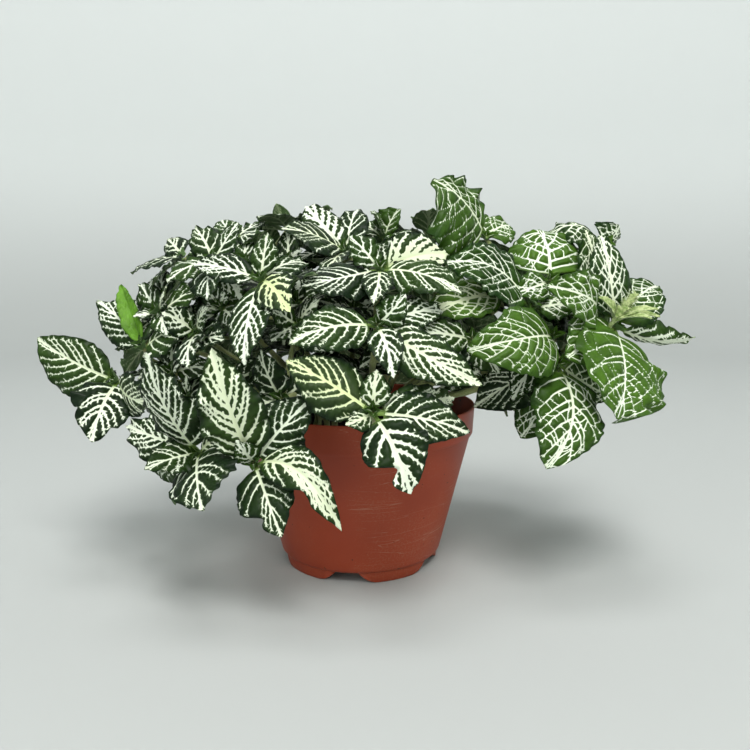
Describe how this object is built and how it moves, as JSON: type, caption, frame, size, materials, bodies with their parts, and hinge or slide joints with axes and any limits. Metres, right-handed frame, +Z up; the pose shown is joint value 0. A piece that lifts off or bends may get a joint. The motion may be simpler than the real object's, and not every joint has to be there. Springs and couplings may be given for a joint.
{
  "type": "potted nerve plant",
  "caption": "Low mound of white-veined nerve plant leaves on creeping stems, rooted in dark soil in a small round tapered plastic nursery pot with moulded feet.",
  "frame": {"origin": "middle of the footprint, on the surface that the pot stands on; the pot axis passes through it", "axes": "+Z up, +X along the longest spread of the foliage, -Y towards the side that the leaves face in front"},
  "size_m": [0.238, 0.1459, 0.1424],
  "materials": {
    "pot_plastic": "satin brick-red moulded plastic with fine scuffs",
    "peat": "dark moist peat compost, rough and crumbly",
    "stem": "soft hairy green stem",
    "leaf_dark": "satin dark green leaf with dense white veins",
    "leaf_light": "satin mid green leaf with a fine white net of veins",
    "bract": "pale green hairy bracts"
  },
  "bodies": {
    "root": {"pot": "pot_plastic", "soil": "peat", "stem_front_centre": "stem", "stem_front_left": "stem", "stem_left_front": "stem", "stem_left_tip": "stem", "stem_left_upper": "stem", "stem_centre": "stem", "stem_centre_upper": "stem", "stem_crown": "stem", "stem_centre_left": "stem", "stem_far_upper_left": "stem", "stem_right_crown": "stem", "stem_right_front": "stem", "stem_right_drop": "stem", "stem_right_tip": "stem", "stem_back_far_left": "stem", "stem_back_left": "stem", "stem_back_left_upper": "stem", "stem_back_centre_left": "stem", "stem_back_centre": "stem", "stem_back_crown": "stem", "stem_back_centre_right": "stem", "stem_back_right": "stem", "stem_back_right_upper": "stem", "stem_back_far_right": "stem", "flower_spike": "bract", "leaves_front_centre": "leaf_dark", "leaves_front_left": "leaf_dark", "leaves_left_front": "leaf_dark", "leaves_left_tip": "leaf_dark", "leaves_left_upper": "leaf_dark", "leaves_centre": "leaf_dark", "leaves_centre_upper": "leaf_dark", "leaves_crown": "leaf_dark", "leaves_centre_left": "leaf_dark", "leaves_far_upper_left": "leaf_dark", "leaves_right_crown": "leaf_light", "leaves_right_front": "leaf_light", "leaves_right_drop": "leaf_light", "leaves_right_tip": "leaf_light", "leaves_back_far_left": "leaf_dark", "leaves_back_left": "leaf_dark", "leaves_back_left_upper": "leaf_dark", "leaves_back_centre_left": "leaf_dark", "leaves_back_centre": "leaf_dark", "leaves_back_crown": "leaf_dark", "leaves_back_centre_right": "leaf_dark", "leaves_back_right": "leaf_light", "leaves_back_right_upper": "leaf_light", "leaves_back_far_right": "leaf_light", "side_shoot_crown_bud": "leaf_dark", "side_shoot_top_left": "leaf_dark", "side_shoot_inner_left": "leaf_dark", "side_shoot_inner_front": "leaf_dark", "side_shoot_right_inner": "leaf_light", "side_shoot_right_low": "leaf_light", "side_shoot_right_fan": "leaf_light", "side_shoot_right_middle": "leaf_light"}
  },
  "joints": []
}
